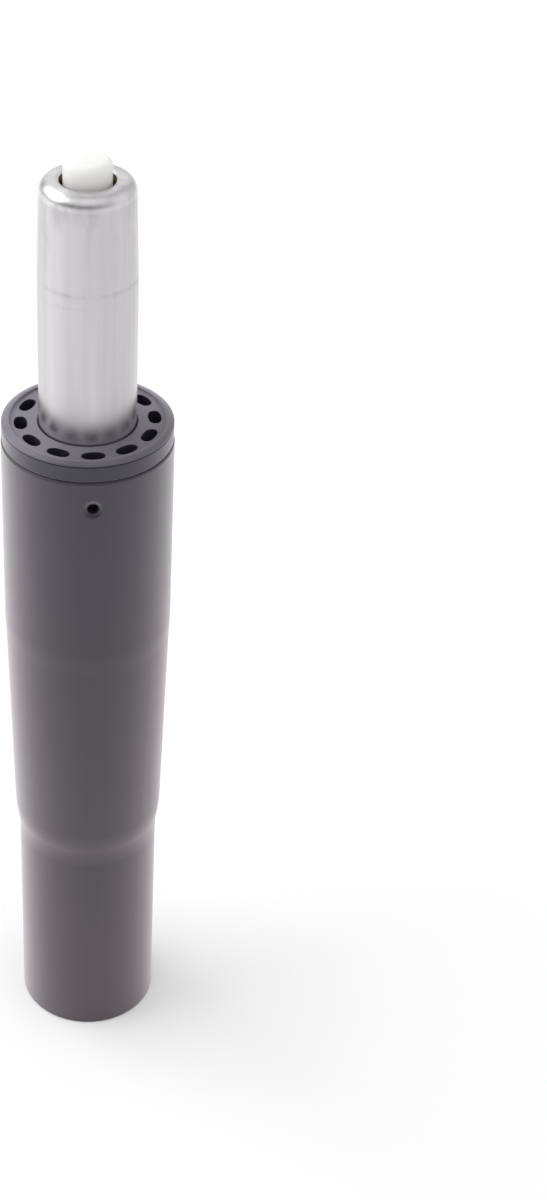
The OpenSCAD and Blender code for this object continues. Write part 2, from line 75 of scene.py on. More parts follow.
# outlines: corners are (radius, height, fillet), and each fillet becomes a true arc
def filleted(corners, closed=True):
    points = []
    ease = meshSet["ease"]
    last = len(corners) - 1
    for i, (x, y, fillet) in enumerate(corners):
        here = Vector((x, y))
        atEnd = not closed and i in (0, last)
        if fillet == 0 or atEnd:
            points.append((x, y))
            continue
        before = (Vector(corners[i - 1][:2]) - here).normalized()
        after = (Vector(corners[(i + 1) % len(corners)][:2]) - here).normalized()
        half = before.angle(after) / 2
        reach = fillet / math.tan(half)
        centre = here + (before + after).normalized() * (fillet / math.sin(half))
        start = here + before * reach
        spoke = start - centre
        turn = 1 if before.x * after.y - before.y * after.x < 0 else -1
        sweep = (math.pi - 2 * half) * turn
        steps = max(meshSet["arcLeast"], math.ceil(abs(sweep) / math.radians(meshSet["arcDeg"])))
        points.append(tuple(start + before * ease))      # keeps the flat next to the arc flat
        for k in range(steps + 1):
            a = sweep * k / steps
            points.append((
                centre.x + spoke.x * math.cos(a) - spoke.y * math.sin(a),
                centre.y + spoke.x * math.sin(a) + spoke.y * math.cos(a),
            ))
        points.append(tuple(here + after * (reach + ease)))
    return points


# which point of an outline lies at a radius and a height
def pointAt(outline, radius, height):
    near = meshSet["same"]
    return next(
        k for k, (r, z) in enumerate(outline)
        if abs(r - radius) < near and abs(z - height) < near
    )


def ringRow(bm, outline, angle):
    return [bm.verts.new(aroundZ(r, angle, z)) for r, z in outline]


# faces between two copies of an outline
def outlineFaces(bm, here, there, spans):
    faces = []
    for k in range(spans):
        n = (k + 1) % len(here)
        faces.append(bm.faces.new((here[k], there[k], there[n], here[n])))
    return faces


# turns an outline about Z; open outlines start and end on the axis
def turnedMesh(bm, outline, columns, startDeg=0.0, closed=True):
    start = math.radians(startDeg)
    rows = [ringRow(bm, outline, start + 2 * math.pi * i / columns) for i in range(columns)]
    spans = len(outline) if closed else len(outline) - 1
    for i in range(columns):
        outlineFaces(bm, rows[i], rows[(i + 1) % columns], spans)
    return rows


# the border of a grid of wide by deep steps, once round
def borderWalk(wide, deep):
    walk = [(i, 0) for i in range(wide)] + [(wide, j) for j in range(deep)]
    walk += [(wide - i, deep) for i in range(wide)] + [(0, deep - j) for j in range(deep)]
    return walk


# clears what lies inside a grid of points, and gives back its border
def openedPatch(bm, grid, walk):
    inner = {v for line in grid for v in line}
    touching = {f for v in inner for f in v.link_faces}
    gone = [f for f in touching if all(v in inner for v in f.verts)]
    bmesh.ops.delete(bm, geom=gone, context="FACES_ONLY")
    for line in grid[1:-1]:
        for v in line[1:-1]:
            bm.verts.remove(v)
    return [grid[i][j] for i, j in walk]


# joins closed loops of points by strips of faces
def stripFaces(bm, chain):
    for strip, (here, there) in enumerate(zip(chain, chain[1:])):
        for k in range(len(here)):
            n = (k + 1) % len(here)
            yield strip, bm.faces.new((here[k], here[n], there[n], there[k]))


def plainMesh(bm, name):
    mesh = bpy.data.meshes.new(name)
    bm.to_mesh(mesh)
    bm.free()
    return mesh


def linked(name, data):
    piece = bpy.data.objects.new(name, data)
    bpy.context.scene.collection.objects.link(piece)
    return piece


# an object that is smooth but for its sharp edges
def smoothPiece(mesh, name):
    mesh.shade_smooth()
    mesh.set_sharp_from_angle(angle=math.radians(meshSet["sharpDeg"]))
    return linked(name, mesh)


def finishMesh(bm, name):
    bmesh.ops.remove_doubles(bm, verts=bm.verts, dist=meshSet["weld"] * mm)
    bmesh.ops.dissolve_degenerate(bm, edges=bm.edges, dist=meshSet["sliver"] * mm)
    bmesh.ops.recalc_face_normals(bm, faces=bm.faces)
    return smoothPiece(plainMesh(bm, name), name)


# node building: a socket is linked, and any other value is set on the input itself
def fill(tree, node, inputs):
    for key, value in inputs.items():
        if isinstance(value, bpy.types.NodeSocket):
            tree.links.new(value, node.inputs[key])
        else:
            node.inputs[key].default_value = value


def put(tree, kind, inputs=None, **settings):
    node = tree.nodes.new(kind)
    for key, value in settings.items():
        setattr(node, key, value)
    fill(tree, node, inputs or {})
    return node


def calc(tree, operation, a, b):
    return put(tree, "ShaderNodeMath", {0: a, 1: b}, operation=operation).outputs[0]


def remap(tree, value, fromLow, fromHigh, toLow, toHigh):
    node = put(tree, "ShaderNodeMapRange", {0: value, 1: fromLow, 2: fromHigh, 3: toLow, 4: toHigh})
    return node.outputs[0]


def colourRamp(tree, value, stops):
    node = put(tree, "ShaderNodeValToRGB", {0: value})
    ramp = node.color_ramp
    while len(ramp.elements) < len(stops):
        ramp.elements.new(0.5)
    for element, (place, colour) in zip(ramp.elements, stops):
        element.position = place
        element.color = (*colour, 1.0)
    return node.outputs[0]


def objectCoords(tree):
    return put(tree, "ShaderNodeTexCoord").outputs["Object"]


# noise on Object coordinates, scaled across the axis and along it
def grain(tree, across, along, detail=4.0, roughness=0.55, offset=(0.0, 0.0, 0.0)):
    place = put(tree, "ShaderNodeMapping", {
        0: objectCoords(tree), "Location": offset, "Scale": (across, across, along),
    })
    noise = put(tree, "ShaderNodeTexNoise", {
        "Vector": place.outputs[0], "Scale": 1.0, "Detail": detail, "Roughness": roughness,
    })
    return noise.outputs[0]


noiseSpan = (0.3, 0.7)       # nearly all values of a noise lie between these


# a number or a colour that follows a noise
def spread(tree, noise, low, high):
    return remap(tree, noise, *noiseSpan, low, high)


def toned(tree, noise, low, high):
    return colourRamp(tree, noise, list(zip(noiseSpan, (low, high))))


def heightAlong(tree):
    return put(tree, "ShaderNodeSeparateXYZ", {0: objectCoords(tree)}).outputs[2]


def axisDistance(tree):
    coords = objectCoords(tree)
    flat = put(tree, "ShaderNodeVectorMath", {0: coords, 1: (1.0, 1.0, 0.0)}, operation="MULTIPLY")
    return put(tree, "ShaderNodeVectorMath", {0: flat.outputs[0]}, operation="LENGTH").outputs["Value"]


# how far a point lies along a direction
def alongSide(tree, coords, direction):
    node = put(tree, "ShaderNodeVectorMath", {0: coords, 1: direction}, operation="DOT_PRODUCT")
    return node.outputs["Value"]


def multiplied(tree, part, first, second):
    node = put(tree, "ShaderNodeMix", {0: part, 6: first, 7: second}, data_type="RGBA", blend_type="MULTIPLY")
    return node.outputs[2]


# a colour made up to a share darker or paler by a noise
def varied(tree, colour, noise, share):
    return multiplied(tree, 1.0, colour, spread(tree, noise, 1.0 - share, 1.0 + share))


def bumped(tree, value, depth, strength):
    bump = put(tree, "ShaderNodeBump", {"Height": value, "Distance": depth * mm, "Strength": strength})
    return bump.outputs[0]


def newMaterial(name):
    material = bpy.data.materials.new(name)
    material.use_nodes = True
    tree = material.node_tree
    return material, tree, tree.nodes["Principled BSDF"]


# fills a piece's slots in order; clearing them first would lose which face has which
def useMaterial(piece, *materials):
    slots = piece.data.materials
    for i, material in enumerate(materials):
        if i < len(slots):
            slots[i] = material
        else:
            slots.append(material)


# camera: fitted to the photo's ellipses and edges, image taken as 547 x 1200
photo = {"width": 547, "height": 1200, "axisX": 87.69, "focalPx": 2204.0}
cameraSet = {"place": (0.0, -0.538, 0.553), "pitchDeg": 36.12, "sensor": 36.0}     # place in metres

camera = linked("camera", bpy.data.cameras.new("camera"))
camera.location = cameraSet["place"]
camera.rotation_euler = (math.radians(90.0 - cameraSet["pitchDeg"]), 0.0, 0.0)
camera.data.sensor_width = cameraSet["sensor"]
camera.data.lens = cameraSet["sensor"] * photo["focalPx"] / photo["height"]
camera.data.shift_x = (photo["width"] / 2 - photo["axisX"]) / photo["height"]
bpy.context.scene.camera = camera
print("camera set")

# stand tube: coated column, with soft bends at the shoulder and three staked dishes
columnSet = {
    "wall": 2.0, "columns": 240,
    "footInside": 16.356, "footEdge": 0.6, "footInnerEdge": 0.4, "footBend": 0.6,
    "spigot": 72.5, "spigotRadius": 21.856,
    "shoulder": 11.0, "steepPart": 7.0, "shoulderBend": 36.0,
    "taper": 67.5, "taperLow": 23.056, "taperTop": 24.75,
    "blend": 5.0, "blendBend": 60.0, "topEdge": 0.7, "topInnerEdge": 0.2,
    # stakes: radii of the dish and its hole, and half the patch of wall that they replace, in columns
    "stakes": 3, "stakeDeg": -86.5, "stakeDrop": 8.7, "stakeReach": 1.0, "patch": 6,
    "dish": 2.8, "hole": 1.6, "dishDepth": 0.5, "dishFlat": 3.3, "dishEase": 0.3, "dishSteps": 10,
    "holeRound": 0.15, "holeRoundMid": (0.04, 0.05), "holeRoundEnd": 0.16,
    "spikeEdge": 0.05, "spikeChamfer": 0.1, "spikeRim": 0.45,
    "flareTop": 0.35, "flareRise": 0.1, "flareFoot": 0.6,
    # coat: colours at shares of the height, and how deep and strong its grain is
    "coatStops": ((0.1, (0.0214, 0.0140, 0.0200)), (0.9, (0.0180, 0.0138, 0.0268))),
    "coatCloud": 0.10, "coatSpeck": 0.08, "coatRough": (0.30, 0.38), "coatBump": (0.03, 0.35),
    "sheen": 1.0, "sheenRough": 0.465, "sheenTint": (1.0, 0.91, 0.97, 1.0),
    # bare edge of the holes, coloured near black as painted shade in them, from this reach inwards
    "bareFrom": 1.75, "bareShadeTones": ((0.012, 0.010, 0.010), (0.024, 0.020, 0.021)),
    "bareRough": (0.55, 0.75), "bareSpecular": 0.25, "bareBump": (0.03, 0.4),
}


# where the column's straight upper stretch starts
def straightStart(s):
    return s["spigot"] + s["shoulder"] + s["taper"] + s["blend"]


# heights of the wall's points round a stake, spaced as its columns are
def stakeLevels(radius, zMid, s):
    step = 2 * math.pi * radius / s["columns"]
    return [zMid + (k - s["patch"]) * step for k in range(2 * s["patch"] + 1)]


# (distance from the stake's centre, depth), from the outside of the wall through the hole to its inside
def stakeRings(s):
    dishStart = s["dish"] + s["dishEase"]
    dishEnd = s["hole"] + s["holeRound"]
    rings = [(s["dishFlat"], 0.0)]
    for k in range(s["dishSteps"] + 1):
        part = k / s["dishSteps"]
        fall = part * part * (3 - 2 * part)               # eases in at the rim and out at the hole
        rings.append((dishStart + (dishEnd - dishStart) * part, s["dishDepth"] * fall))
    midOut, midDown = s["holeRoundMid"]
    tip = s["wall"] + s["stakeReach"]
    rings += [
        (s["hole"] + midOut, s["dishDepth"] + midDown),
        (s["hole"], s["dishDepth"] + s["holeRoundEnd"]),
        (s["hole"], tip - s["spikeEdge"]),
        (s["hole"] + s["spikeChamfer"], tip),
        (s["hole"] + s["spikeRim"], tip),
        (s["dish"] + s["flareTop"], s["wall"] + s["flareRise"]),
        (s["dish"] + s["flareFoot"], s["wall"]),
    ]
    return rings


# replaces a square of wall on both sides with rings that run through the stake's hole
def pierceStake(bm, rows, outline, column, radius, zMid, s):
    half = s["patch"]
    walk = borderWalk(2 * half, 2 * half)
    levels = stakeLevels(radius, zMid, s)
    nearRows = [rows[(column + i - half) % len(rows)] for i in range(2 * half + 1)]
    borders = []
    for wallRadius in (radius, radius - s["wall"]):
        picked = [pointAt(outline, wallRadius, level) for level in levels]
        borders.append(openedPatch(bm, [[row[k] for k in picked] for row in nearRows], walk))
    angle = math.radians(s["stakeDeg"]) + 2 * math.pi * column / len(rows)
    rings = stakeRings(s)
    chain = [borders[0]]
    for reach, depth in rings:
        ring = []
        for i, j in walk:
            flat = Vector((i - half, j - half)).normalized() * reach
            ring.append(bm.verts.new(aroundZ(radius - depth, angle + flat.x / radius, zMid + flat.y)))
        chain.append(ring)
    chain.append(borders[1])
    coated = 1 + sum(depth < s["wall"] / 2 and reach > s["bareFrom"] for reach, depth in rings)
    for strip, face in stripFaces(bm, chain):
        face.material_index = 0 if strip < coated else 1


def makeColumn(s):
    top = nodeTop("column_tube")
    radius = nodeRadius("column_tube")
    inside = radius - s["wall"]
    spigotInside = s["spigotRadius"] - s["wall"]
    shoulderTop = s["spigot"] + s["shoulder"]
    steepLow = (s["spigot"] + shoulderTop - s["steepPart"]) / 2
    taperTop = shoulderTop + s["taper"]
    straight = straightStart(s)
    zMid = top - s["stakeDrop"]
    levels = stakeLevels(radius, zMid, s)
    corners = [
        (s["footInside"], 0.0, s["footInnerEdge"]),
        (s["spigotRadius"], 0.0, s["footEdge"]),
        (s["spigotRadius"], steepLow, s["shoulderBend"]),
        (s["taperLow"], steepLow + s["steepPart"], s["shoulderBend"]),
        (s["taperTop"], taperTop, s["blendBend"]),
        (radius, straight, s["blendBend"]),
    ]
    corners += [(radius, z, 0) for z in levels]
    corners += [(radius, top, s["topEdge"]), (inside, top, s["topInnerEdge"])]
    corners += [(inside, z, 0) for z in reversed(levels)]
    corners += [
        (inside, straight, 0),
        (s["taperTop"] - s["wall"], taperTop, 0),
        (s["taperLow"] - s["wall"], shoulderTop, 0),
        (spigotInside, s["spigot"], 0),
        (spigotInside, s["wall"], s["footBend"]),
        (s["footInside"], s["wall"], s["footInnerEdge"]),
    ]
    outline = filleted(corners)
    bm = bmesh.new()
    rows = turnedMesh(bm, outline, s["columns"], s["stakeDeg"])
    for k in range(s["stakes"]):
        pierceStake(bm, rows, outline, k * s["columns"] // s["stakes"], radius, zMid, s)
    return finishMesh(bm, "standTube")


def coatMaterial(s):
    material, tree, shader = newMaterial("satinGreyCoat")
    cloud = grain(tree, across=18.0, along=9.0, detail=5.0)
    fine = grain(tree, across=2600.0, along=2600.0, detail=2.0)
    rub = grain(tree, across=60.0, along=14.0, detail=6.0, offset=(3.1, 1.7, 0.4))
    upward = remap(tree, heightAlong(tree), 0.0, nodeTop("column_tube") * mm, 0.0, 1.0)
    clouded = varied(tree, colourRamp(tree, upward, s["coatStops"]), cloud, s["coatCloud"])
    fill(tree, shader, {
        "Base Color": varied(tree, clouded, fine, s["coatSpeck"]),
        "Roughness": spread(tree, rub, *s["coatRough"]),
        "Sheen Weight": s["sheen"],
        "Sheen Roughness": s["sheenRough"],
        "Sheen Tint": s["sheenTint"],
        "Normal": bumped(tree, fine, *s["coatBump"]),
    })
    return material


# the pierced edge of a stake, where the coat is broken through, coloured near black as painted shade in the hole
def stakeShadeMaterial(s):
    material, tree, shader = newMaterial("bareEdgePaintedShade")
    rust = grain(tree, across=700.0, along=700.0, detail=5.0)
    fill(tree, shader, {
        "Base Color": toned(tree, rust, *s["bareShadeTones"]),
        "Roughness": spread(tree, rust, *s["bareRough"]),
        "Specular IOR Level": s["bareSpecular"],
        "Normal": bumped(tree, rust, *s["bareBump"]),
    })
    return material


column = makeColumn(columnSet)
useMaterial(column, coatMaterial(columnSet), stakeShadeMaterial(columnSet))
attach(column, "column")
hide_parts("column_tube")
print("stand tube:", len(column.data.polygons), "faces")

# guide bush: one sector is modelled, and nodes repeat it round the tube
bushSet = {
    "pockets": 12, "firstDeg": -85.35, "columns": 20, "weld": 0.004,
    "bore": 14.06, "boreEdge": 0.5, "nose": 16.56, "sleeve": 22.9, "sleeveClear": 5.0, "mouldEdge": 0.3,
    "relief": 1.6, "reliefHalf": 4.5,                  # groove that the stakes reach into
    "flange": 6.3, "seam": 0.3, "seamDepth": 0.9, "seamEdge": 0.35, "line": 0.3, "lineDrop": 1.15,
    "rim": 2.3, "rimDepth": 0.7, "rimEdge": 0.4, "rimSlope": 1.4, "rimFall": 0.5,
    "rimRound": 1.2, "rimInner": 0.25,
    # core pockets: an oval that is fuller than an ellipse, and the patch of face that it replaces
    "pocketMid": 19.205, "pocketLong": 6.7, "pocketWide": 3.7, "pocketFull": 2.35, "pocketDeep": 25.0,
    "mouthEdge": 0.2, "mouthFlat": 0.15, "mouthSteps": 5, "mouthStrips": 4,
    "wallTop": 0.3, "wallMid": 8.0, "floorEdge": 0.3, "floorChamfer": 0.1, "floorInset": 1.0,
    "patchColumns": 9, "patchRows": 12, "patchReach": 2.7,
    # finish: dust on the face and the rim, painted shade along the groove under the rim, the rim painted paler
    # than the face as a highlight, and the tube's painted shadow on the front right
    "side": (0.022, 0.018, 0.034), "grooveShade": (0.010, 0.008, 0.016), "dust": (0.185, 0.170, 0.216),
    "dustFrom": 0.85, "dustTo": 0.10, "grooveShadeSpan": (0.4, 0.7), "faceTone": 0.88, "rimBlend": 0.2,
    "tubeShadowSide": (0.45, -0.89, 0.0), "tubeShadowSpan": (2.0, 20.0), "tubeShadowTones": (0.96, 0.46),
    "cloud": 0.16, "rough": (0.38, 0.50), "specular": 0.45, "bump": (0.02, 0.3),
    "sheen": 0.9, "sheenRough": 0.45, "sheenTint": (0.96, 0.92, 1.0, 1.0),
    # painted shade: the pockets and the bore get the plastic without its sheen
    "pocketTones": ((0.020, 0.018, 0.030), (0.030, 0.027, 0.042)),
    "pocketRough": (0.50, 0.62), "pocketSpecular": 0.3,
}


# the bush's section, up its outside and over the flange, with a point on the face at each given radius
def bushOutline(s, faceRadii):
    top = nodeTop("guide_bush")
    bottom = nodeBottom("guide_bush")
    radius = nodeRadius("guide_bush")
    seat = top - s["flange"]
    face = top - s["rimDepth"]
    sleeveBottom = straightStart(columnSet) + s["sleeveClear"]
    stakeMid = seat - columnSet["stakeDrop"]
    reliefLow = stakeMid - s["reliefHalf"]
    reliefHigh = stakeMid + s["reliefHalf"]
    relieved = s["sleeve"] - s["relief"]
    seamInside = radius - s["seamDepth"]
    seamTop = seat + s["seam"]
    lineMid = top - s["lineDrop"]
    rimInside = radius - s["rim"]
    corners = [
        (s["bore"], bottom, s["mouldEdge"]),
        (s["nose"], bottom, s["mouldEdge"]),
        (s["nose"], sleeveBottom, 0),
        (s["sleeve"], sleeveBottom, s["mouldEdge"]),
        (s["sleeve"], reliefLow, 0),
        (relieved, reliefLow, 0),
        (relieved, reliefHigh, 0),
        (s["sleeve"], reliefHigh, 0),
        (s["sleeve"], seat, 0),
        (seamInside, seat, 0),
        (seamInside, seamTop, 0),
        (radius, seamTop, s["seamEdge"]),
        (radius, lineMid - s["line"], 0),
        (radius - s["line"], lineMid, 0),
        (radius, lineMid + s["line"] / 2, 0),
        (radius, top - s["rimFall"], s["rimEdge"]),
        (radius - s["rimSlope"], top, s["rimRound"]),
        (rimInside, top, s["rimInner"]),
        (rimInside, face, s["rimInner"]),
    ]
    corners += [(r, face, 0) for r in reversed(faceRadii)]
    corners += [(s["bore"], face, s["boreEdge"])]
    return filleted(corners)


# distance from the pocket's middle to its oval wall, pushed out by offset, along a direction
def pocketReach(direction, offset, s):
    along = abs(direction.x) / (s["pocketLong"] / 2 + offset)
    across = abs(direction.y) / (s["pocketWide"] / 2 + offset)
    full = s["pocketFull"]
    return (along ** full + across ** full) ** (-1 / full)


# (offset from the pocket's wall, depth below the face), from its rounded mouth to its floor
def pocketRings(s):
    edge = s["mouthEdge"]
    deep = s["pocketDeep"]
    rings = [(edge + s["mouthFlat"], 0.0)]
    for k in range(s["mouthSteps"] + 1):
        a = math.pi / 2 * k / s["mouthSteps"]
        rings.append((edge * (1 - math.sin(a)), edge * (1 - math.cos(a))))
    rings += [(0.0, edge + s["wallTop"]), (0.0, s["wallMid"]), (0.0, deep - s["floorEdge"])]
    rings += [(-s["floorChamfer"], deep), (-s["floorInset"], deep)]
    return rings


# one pocket's share of the bush, with the faces of its bore and pocket marked as hollow
def makeBushSector(s):
    face = nodeTop("guide_bush") - s["rimDepth"]
    mid = s["pocketMid"]
    wide = 2 * s["patchColumns"]
    deep = s["patchRows"]
    faceRadii = [mid + s["patchReach"] * (2 * k / deep - 1) for k in range(deep + 1)]
    outline = bushOutline(s, faceRadii)
    pitch = 2 * math.pi / s["pockets"]
    angles = [pitch * (i / s["columns"] - 0.5) for i in range(s["columns"] + 1)]
    bm = bmesh.new()
    lines = [ringRow(bm, outline, a) for a in angles]
    hollow = bm.faces.layers.bool.new("hollow")
    boreReach = s["bore"] + s["boreEdge"]
    inBore = [max(a[0], b[0]) < boreReach for a, b in zip(outline, outline[1:] + outline[:1])]
    for here, there in zip(lines, lines[1:]):
        for strip, isHollow in zip(outlineFaces(bm, here, there, len(outline)), inBore):
            strip[hollow] = isHollow
    picked = [pointAt(outline, r, face) for r in faceRadii]
    first = s["columns"] // 2 - s["patchColumns"]
    walk = borderWalk(wide, deep)
    grid = [[line[k] for k in picked] for line in lines[first:first + wide + 1]]
    chain = [openedPatch(bm, grid, walk)]
    for offset, depth in pocketRings(s):
        ring = []
        for i, j in walk:
            way = Vector((mid * angles[first + i], faceRadii[j] - mid)).normalized()
            flat = way * pocketReach(way, offset, s)
            ring.append(bm.verts.new(((mid + flat.y) * mm, flat.x * mm, (face - depth) * mm)))
        chain.append(ring)
    for strip, wall in stripFaces(bm, chain):
        wall[hollow] = strip >= s["mouthStrips"]
    floor = bm.faces.new(chain[-1])
    floor[hollow] = True
    bmesh.ops.recalc_face_normals(bm, faces=bm.faces)
    return linked("bushSector", plainMesh(bm, "bushSector"))


# a node tree that turns copies of its mesh about Z and joins their edges
def sectorTree(material, hollowMaterial):
    tree = bpy.data.node_groups.new("repeatSector", "GeometryNodeTree")
    sockets = tree.interface
    sockets.new_socket("Geometry", in_out="INPUT", socket_type="NodeSocketGeometry")
    count = sockets.new_socket("Copies", in_out="INPUT", socket_type="NodeSocketInt")
    first = sockets.new_socket("First Turn", in_out="INPUT", socket_type="NodeSocketFloat")
    weld = sockets.new_socket("Weld Gap", in_out="INPUT", socket_type="NodeSocketFloat")
    sockets.new_socket("Geometry", in_out="OUTPUT", socket_type="NodeSocketGeometry")
    source = put(tree, "NodeGroupInput")
    points = put(tree, "GeometryNodePoints", {"Count": source.outputs["Copies"]})
    index = put(tree, "GeometryNodeInputIndex")
    turn = put(tree, "ShaderNodeMath", {
        0: index.outputs[0],
        1: calc(tree, "DIVIDE", 2 * math.pi, source.outputs["Copies"]),
        2: source.outputs["First Turn"],
    }, operation="MULTIPLY_ADD")
    spin = put(tree, "ShaderNodeCombineXYZ", {2: turn.outputs[0]})
    copies = put(tree, "GeometryNodeInstanceOnPoints", {
        "Points": points.outputs[0], "Instance": source.outputs["Geometry"], "Rotation": spin.outputs[0],
    })
    real = put(tree, "GeometryNodeRealizeInstances", {0: copies.outputs[0]})
    joined = put(tree, "GeometryNodeMergeByDistance", {
        "Geometry": real.outputs[0], "Distance": source.outputs["Weld Gap"],
    })
    painted = put(tree, "GeometryNodeSetMaterial", {"Geometry": joined.outputs[0], "Material": material})
    hollow = put(tree, "GeometryNodeInputNamedAttribute", {"Name": "hollow"}, data_type="BOOLEAN")
    both = put(tree, "GeometryNodeSetMaterial", {
        "Geometry": painted.outputs[0], "Selection": hollow.outputs[0], "Material": hollowMaterial,
    })
    put(tree, "NodeGroupOutput", {0: both.outputs[0]})
    return tree, count.identifier, first.identifier, weld.identifier


# runs a node tree on a mesh and gives back a plain object
def bakedNodes(source, tree, values, name):
    modifier = source.modifiers.new("nodes", "NODES")
    modifier.node_group = tree
    for identifier, value in values.items():
        modifier[identifier] = value
    bpy.context.view_layer.update()
    graph = bpy.context.evaluated_depsgraph_get()
    mesh = bpy.data.meshes.new_from_object(source.evaluated_get(graph), depsgraph=graph)
    source.modifiers.remove(modifier)
    bpy.data.objects.remove(source)
    mesh.name = name
    return smoothPiece(mesh, name)


# dark moulded plastic, paler where dust settles on its top face, with painted shade along the groove under the
# rim, a painted highlight on the rim, and the tube's shadow painted on the front right
def bushMaterial(s):
    face = nodeTop("guide_bush") - s["rimDepth"]
    rimInside = nodeRadius("guide_bush") - s["rim"]
    material, tree, shader = newMaterial("mouldedBushPlastic")
    cloud = grain(tree, across=90.0, along=90.0, detail=5.0)
    fine = grain(tree, across=3000.0, along=3000.0, detail=2.0)
    upward = remap(tree, heightAlong(tree), (face - s["dustFrom"]) * mm, (face - s["dustTo"]) * mm, 0.0, 1.0)
    # painted shade: a dark band along the groove under the rim
    grooveShadeStops = [(place, s["grooveShade"]) for place in s["grooveShadeSpan"]]
    tone = colourRamp(tree, upward, [(0.0, s["side"]), *grooveShadeStops, (1.0, s["dust"])])
    # painted highlight: the face a share darker than the rim round it
    rimStart = (rimInside - s["rimBlend"]) * mm
    rimEnd = (rimInside + s["rimBlend"]) * mm
    paintedRimHighlight = remap(tree, axisDistance(tree), rimStart, rimEnd, s["faceTone"], 1.0)
    # painted shadow of the tube: the face and the rim darker towards the front right
    shadowStart, shadowEnd = s["tubeShadowSpan"]
    across = alongSide(tree, objectCoords(tree), s["tubeShadowSide"])
    tubeShadow = remap(tree, across, shadowStart * mm, shadowEnd * mm, *s["tubeShadowTones"])
    tone = multiplied(tree, upward, tone, calc(tree, "MULTIPLY", paintedRimHighlight, tubeShadow))
    fill(tree, shader, {
        "Base Color": varied(tree, tone, cloud, s["cloud"]),
        "Roughness": spread(tree, cloud, *s["rough"]),
        "Specular IOR Level": s["specular"],
        "Sheen Weight": s["sheen"],
        "Sheen Roughness": s["sheenRough"],
        "Sheen Tint": s["sheenTint"],
        "Normal": bumped(tree, fine, *s["bump"]),
    })
    return material


# the same plastic down in the pockets and the bore, smooth from the mould and free of dust, and without its
# sheen: a shaded copy that paints shade into the hollows
def pocketShadeMaterial(s):
    material, tree, shader = newMaterial("pocketShadePlastic")
    cloud = grain(tree, across=240.0, along=240.0)
    fill(tree, shader, {
        "Base Color": toned(tree, cloud, *s["pocketTones"]),
        "Roughness": spread(tree, cloud, *s["pocketRough"]),
        "Specular IOR Level": s["pocketSpecular"],
    })
    return material


repeatTree, copiesId, turnId, weldId = sectorTree(bushMaterial(bushSet), pocketShadeMaterial(bushSet))
bush = bakedNodes(
    makeBushSector(bushSet), repeatTree,
    {copiesId: bushSet["pockets"], turnId: math.radians(bushSet["firstDeg"]), weldId: bushSet["weld"] * mm},
    "guideBushMoulding",
)
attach(bush, "column")
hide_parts("guide_bush")
print("guide bush:", len(bush.data.polygons), "faces")

# ground tube: seat taper above, rolled-in lip, crimped lower end
tubeSet = {
    "wall": 1.5, "columns": 240, "taper": 31.0, "taperRadius": 13.222, "taperBend": 12.0,
    "lipBend": 3.65, "lipCrest": 8.8, "crestBend": 1.2, "lipFall": 0.4, "lipThick": 1.5, "lipInnerBend": 0.8,
    "opening": 7.8, "openingEdge": 0.3, "openingUnder": 0.2,
    "crimp": 7.5, "crimpEdge": 1.2, "crimpMouth": 0.3, "crimpBend": 0.6, "crimpTop": 0.2,
    "steelTones": ((0.535, 0.518, 0.535), (0.675, 0.655, 0.675)), "rough": (0.36, 0.27),
    "grinding": 0.4, "grindingTurn": 0.25, "bump": (0.005, 0.3),       # grinding runs round the tube
    # darker rings: tones at shares of a band about the taper's start, and where the smudges break them
    "ringReach": 5.0, "ringBreaks": (0.42, 0.60), "ringLeast": 0.1,
    "ringStops": ((0.30, 1.0), (0.38, 0.92), (0.46, 1.0), (0.66, 1.0), (0.76, 0.74), (0.85, 1.0)),
    "stainMargin": 4.0, "stainSpan": (0.5, 0.68), "stainTone": (0.80, 0.78, 0.80, 1.0),
    # painted highlight: the steel paler over the lip's top
    "paintedLipHighlight": 1.16, "highlightFrom": 4.4, "highlightTo": 3.4,                # from and to, below the top
}


def makeTube(s):
    top = nodeTop("pressure_tube")
    bottom = nodeBottom("pressure_tube")
    radius = nodeRadius("pressure_tube")
    taperStart = top - s["taper"]
    under = top - s["lipFall"] - s["lipThick"]
    corners = [
        (s["crimp"], bottom, s["crimpMouth"]),
        (radius, bottom, s["crimpEdge"]),
        (radius, taperStart, s["taperBend"]),
        (s["taperRadius"], top, s["lipBend"]),
        (s["lipCrest"], top, s["crestBend"]),
        (s["opening"], top - s["lipFall"], s["openingEdge"]),
        (s["opening"], under, s["openingUnder"]),
        (s["taperRadius"] - s["wall"], under, s["lipInnerBend"]),
        (radius - s["wall"], taperStart, 0),
        (radius - s["wall"], bottom + s["wall"], s["crimpBend"]),
        (s["crimp"], bottom + s["wall"], s["crimpTop"]),
    ]
    bm = bmesh.new()
    turnedMesh(bm, filleted(corners), s["columns"])
    return finishMesh(bm, "groundTube")


